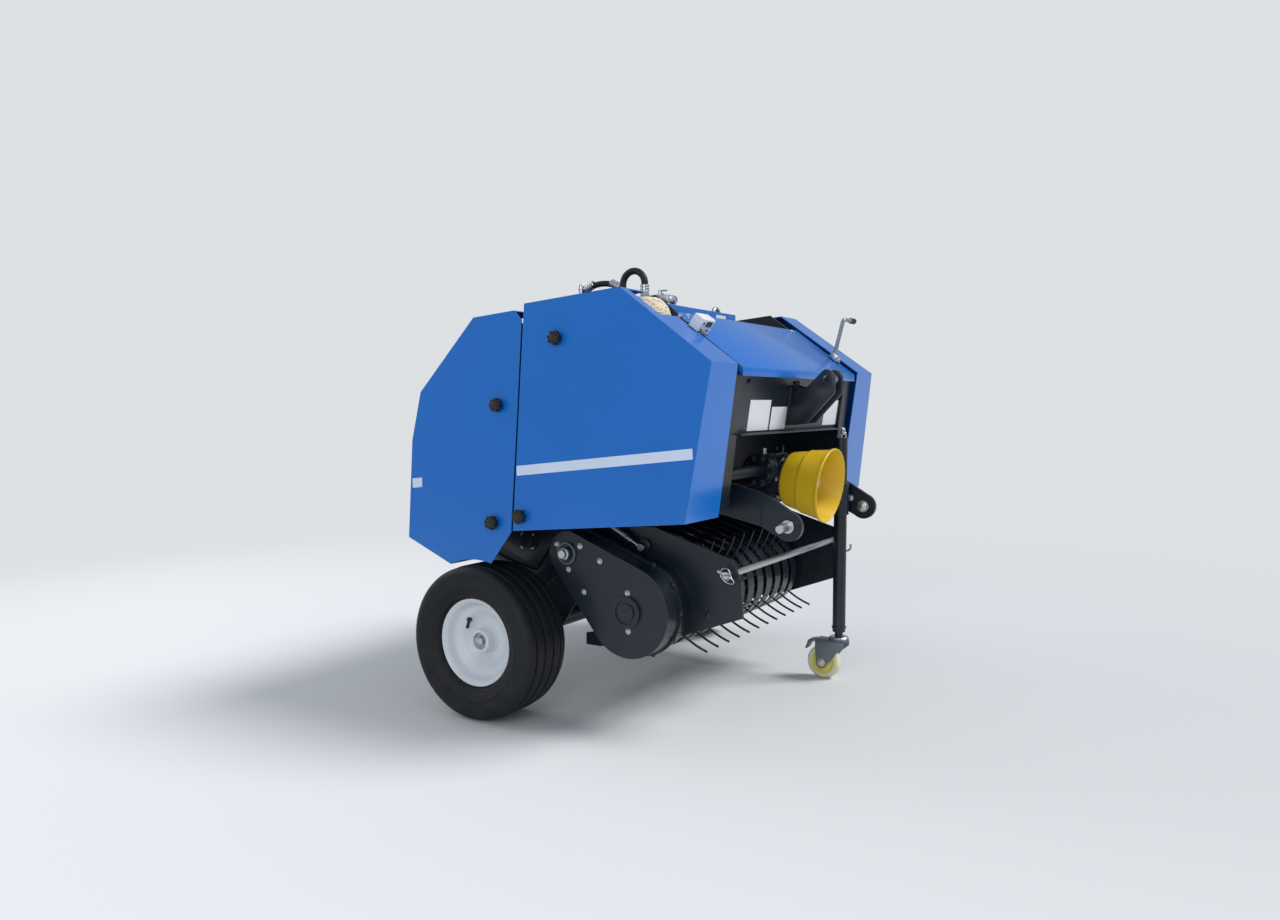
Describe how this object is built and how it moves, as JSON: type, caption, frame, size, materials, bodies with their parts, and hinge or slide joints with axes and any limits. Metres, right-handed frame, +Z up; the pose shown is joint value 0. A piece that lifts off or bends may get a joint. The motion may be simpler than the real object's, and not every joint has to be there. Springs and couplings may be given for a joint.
{
  "type": "small round baler",
  "caption": "Small three-point-hitch round baler with tined pickup, roller chamber, lifting tailgate and castor parking leg.",
  "frame": {"origin": "on the ground, mid-length and mid-width", "axes": "+X forward to the tractor, +Y to the machine's left, +Z up"},
  "size_m": [1.029, 1.265, 1.187],
  "materials": {
    "blue_paint": "gloss",
    "dark_paint": "satin",
    "zinc_steel": "satin",
    "chromed_rod": "polished",
    "roller_steel": "satin",
    "black_spring_steel": "satin",
    "yellow_plastic": "satin",
    "twine": "matt",
    "white_plastic": "satin",
    "hose_rubber": "matt",
    "black_plastic": "satin",
    "castor_plastic": "satin",
    "tyre_rubber": "matt",
    "white_paint": "gloss"
  },
  "bodies": {
    "frame": {"side_walls": "dark_paint", "chamber_front": "dark_paint", "front_beams": "dark_paint", "axle": "dark_paint", "front_cover_right": "blue_paint", "front_cover_left": "blue_paint", "hood": "blue_paint", "twine_box": "blue_paint", "front_panel": "dark_paint", "mast": "dark_paint", "hitch_plates": "dark_paint", "hitch_pins": "zinc_steel", "gearbox": "dark_paint", "pto_guard": "yellow_plastic", "pickup_sides": "dark_paint", "guard_bands": "dark_paint", "windguard_bar": "zinc_steel", "chain_case": "dark_paint", "tension_springs": "zinc_steel", "twine_ball": "twine", "counter_box": "white_plastic", "crank_lever": "zinc_steel", "hoses": "hose_rubber", "hose_valve": "zinc_steel", "lifting_eye": "zinc_steel", "cover_knobs": "black_plastic", "parking_chain": "zinc_steel", "leg_sleeve": "dark_paint"},
    "tailgate": {"gate_walls": "dark_paint", "gate_beams": "dark_paint", "gate_cover_right": "blue_paint", "gate_cover_left": "blue_paint", "rear_cover": "blue_paint", "gate_knobs": "black_plastic"},
    "wheel_right": {"tyre_right": "tyre_rubber", "rim_right": "white_paint"},
    "wheel_left": {"tyre_left": "tyre_rubber", "rim_left": "white_paint"},
    "reel": {"pickup_reel": "black_spring_steel"},
    "stub_shaft": {"pto_shaft": "zinc_steel"},
    "leg": {"parking_leg": "dark_paint"},
    "castor": {"castor_fork": "zinc_steel"},
    "castor_roll": {"castor_wheel": "castor_plastic"},
    "cylinder_right": {"barrel_right": "dark_paint"},
    "piston_right": {"rod_right": "chromed_rod"},
    "cylinder_left": {"barrel_left": "dark_paint"},
    "piston_left": {"rod_left": "chromed_rod"},
    "front_roller_1": {"front_roller_1": "roller_steel"},
    "front_roller_2": {"front_roller_2": "roller_steel"},
    "front_roller_3": {"front_roller_3": "roller_steel"},
    "front_roller_4": {"front_roller_4": "roller_steel"},
    "gate_roller_1": {"gate_roller_1": "roller_steel"},
    "gate_roller_2": {"gate_roller_2": "roller_steel"},
    "gate_roller_3": {"gate_roller_3": "roller_steel"},
    "gate_roller_4": {"gate_roller_4": "roller_steel"},
    "gate_roller_5": {"gate_roller_5": "roller_steel"}
  },
  "joints": [
    {"name": "wheel_right_spin", "type": "hinge", "parent": "frame", "child": "wheel_right", "pos_m": [-0.2605, -0.55, 0.203], "axis": [0, 1, 0], "continuous": true},
    {"name": "wheel_left_spin", "type": "hinge", "parent": "frame", "child": "wheel_left", "pos_m": [-0.2605, 0.55, 0.203], "axis": [0, 1, 0], "continuous": true},
    {"name": "tailgate_lift", "type": "hinge", "parent": "frame", "child": "tailgate", "pos_m": [-0.1605, 0, 1.045], "axis": [0, 1, 0], "range_deg": [0, 60]},
    {"name": "front_roller_1_spin", "type": "hinge", "parent": "frame", "child": "front_roller_1", "pos_m": [-0.10021, 0, 0.42134], "axis": [0, 1, 0], "continuous": true},
    {"name": "front_roller_2_spin", "type": "hinge", "parent": "frame", "child": "front_roller_2", "pos_m": [0.12791, 0, 0.67469], "axis": [0, 1, 0], "continuous": true},
    {"name": "front_roller_3_spin", "type": "hinge", "parent": "frame", "child": "front_roller_3", "pos_m": [0.09065, 0, 0.85], "axis": [0, 1, 0], "continuous": true},
    {"name": "front_roller_4_spin", "type": "hinge", "parent": "frame", "child": "front_roller_4", "pos_m": [-0.04255, 0, 0.96993], "axis": [0, 1, 0], "continuous": true},
    {"name": "gate_roller_1_spin", "type": "hinge", "parent": "tailgate", "child": "gate_roller_1", "pos_m": [-0.22079, 0, 0.98866], "axis": [0, 1, 0], "continuous": true},
    {"name": "gate_roller_2_spin", "type": "hinge", "parent": "tailgate", "child": "gate_roller_2", "pos_m": [-0.37601, 0, 0.89905], "axis": [0, 1, 0], "continuous": true},
    {"name": "gate_roller_3_spin", "type": "hinge", "parent": "tailgate", "child": "gate_roller_3", "pos_m": [-0.44891, 0, 0.73531], "axis": [0, 1, 0], "continuous": true},
    {"name": "gate_roller_4_spin", "type": "hinge", "parent": "tailgate", "child": "gate_roller_4", "pos_m": [-0.41165, 0, 0.56], "axis": [0, 1, 0], "continuous": true},
    {"name": "gate_roller_5_spin", "type": "hinge", "parent": "tailgate", "child": "gate_roller_5", "pos_m": [-0.27845, 0, 0.44007], "axis": [0, 1, 0], "continuous": true},
    {"name": "reel_spin", "type": "hinge", "parent": "frame", "child": "reel", "pos_m": [0.1275, 0, 0.304], "axis": [0, 1, 0], "continuous": true},
    {"name": "stub_spin", "type": "hinge", "parent": "frame", "child": "stub_shaft", "pos_m": [0.3395, 0, 0.621], "axis": [0.9925, 0, -0.1219], "continuous": true},
    {"name": "leg_slide", "type": "slide", "parent": "frame", "child": "leg", "axis": [0, 0, 1], "range_m": [0, 0.15]},
    {"name": "castor_swivel", "type": "hinge", "parent": "leg", "child": "castor", "pos_m": [0.4175, 0.245, 0.1], "axis": [0, 0, 1], "continuous": true},
    {"name": "castor_spin", "type": "hinge", "parent": "castor", "child": "castor_roll", "pos_m": [0.3725, 0.245, 0.05], "axis": [0, 1, 0], "continuous": true},
    {"name": "cylinder_right_swing", "type": "hinge", "parent": "frame", "child": "cylinder_right", "pos_m": [0.0695, -0.388, 0.69], "axis": [0, 1, 0], "range_deg": [0, 10.74]},
    {"name": "piston_right_slide", "type": "slide", "parent": "cylinder_right", "child": "piston_right", "axis": [-0.8609, 0, 0.5087], "range_m": [0, 0.1718]},
    {"name": "cylinder_left_swing", "type": "hinge", "parent": "frame", "child": "cylinder_left", "pos_m": [0.0695, 0.388, 0.69], "axis": [0, 1, 0], "range_deg": [0, 10.74]},
    {"name": "piston_left_slide", "type": "slide", "parent": "cylinder_left", "child": "piston_left", "axis": [-0.8609, 0, 0.5087], "range_m": [0, 0.1718]}
  ],
  "couplings": [
    {"joint": "cylinder_right_swing", "follows": "tailgate_lift", "ratio": 0.17075},
    {"joint": "piston_right_slide", "follows": "tailgate_lift", "m_per_rad": 0.16217},
    {"joint": "cylinder_left_swing", "follows": "tailgate_lift", "ratio": 0.17075},
    {"joint": "piston_left_slide", "follows": "tailgate_lift", "m_per_rad": 0.16217},
    {"joint": "front_roller_2_spin", "follows": "front_roller_1_spin", "ratio": 1},
    {"joint": "front_roller_3_spin", "follows": "front_roller_1_spin", "ratio": 1},
    {"joint": "front_roller_4_spin", "follows": "front_roller_1_spin", "ratio": 1},
    {"joint": "gate_roller_1_spin", "follows": "front_roller_1_spin", "ratio": 1},
    {"joint": "gate_roller_2_spin", "follows": "front_roller_1_spin", "ratio": 1},
    {"joint": "gate_roller_3_spin", "follows": "front_roller_1_spin", "ratio": 1},
    {"joint": "gate_roller_4_spin", "follows": "front_roller_1_spin", "ratio": 1},
    {"joint": "gate_roller_5_spin", "follows": "front_roller_1_spin", "ratio": 1},
    {"joint": "reel_spin", "follows": "front_roller_1_spin", "ratio": -0.6},
    {"joint": "stub_spin", "follows": "front_roller_1_spin", "ratio": 2.5}
  ]
}
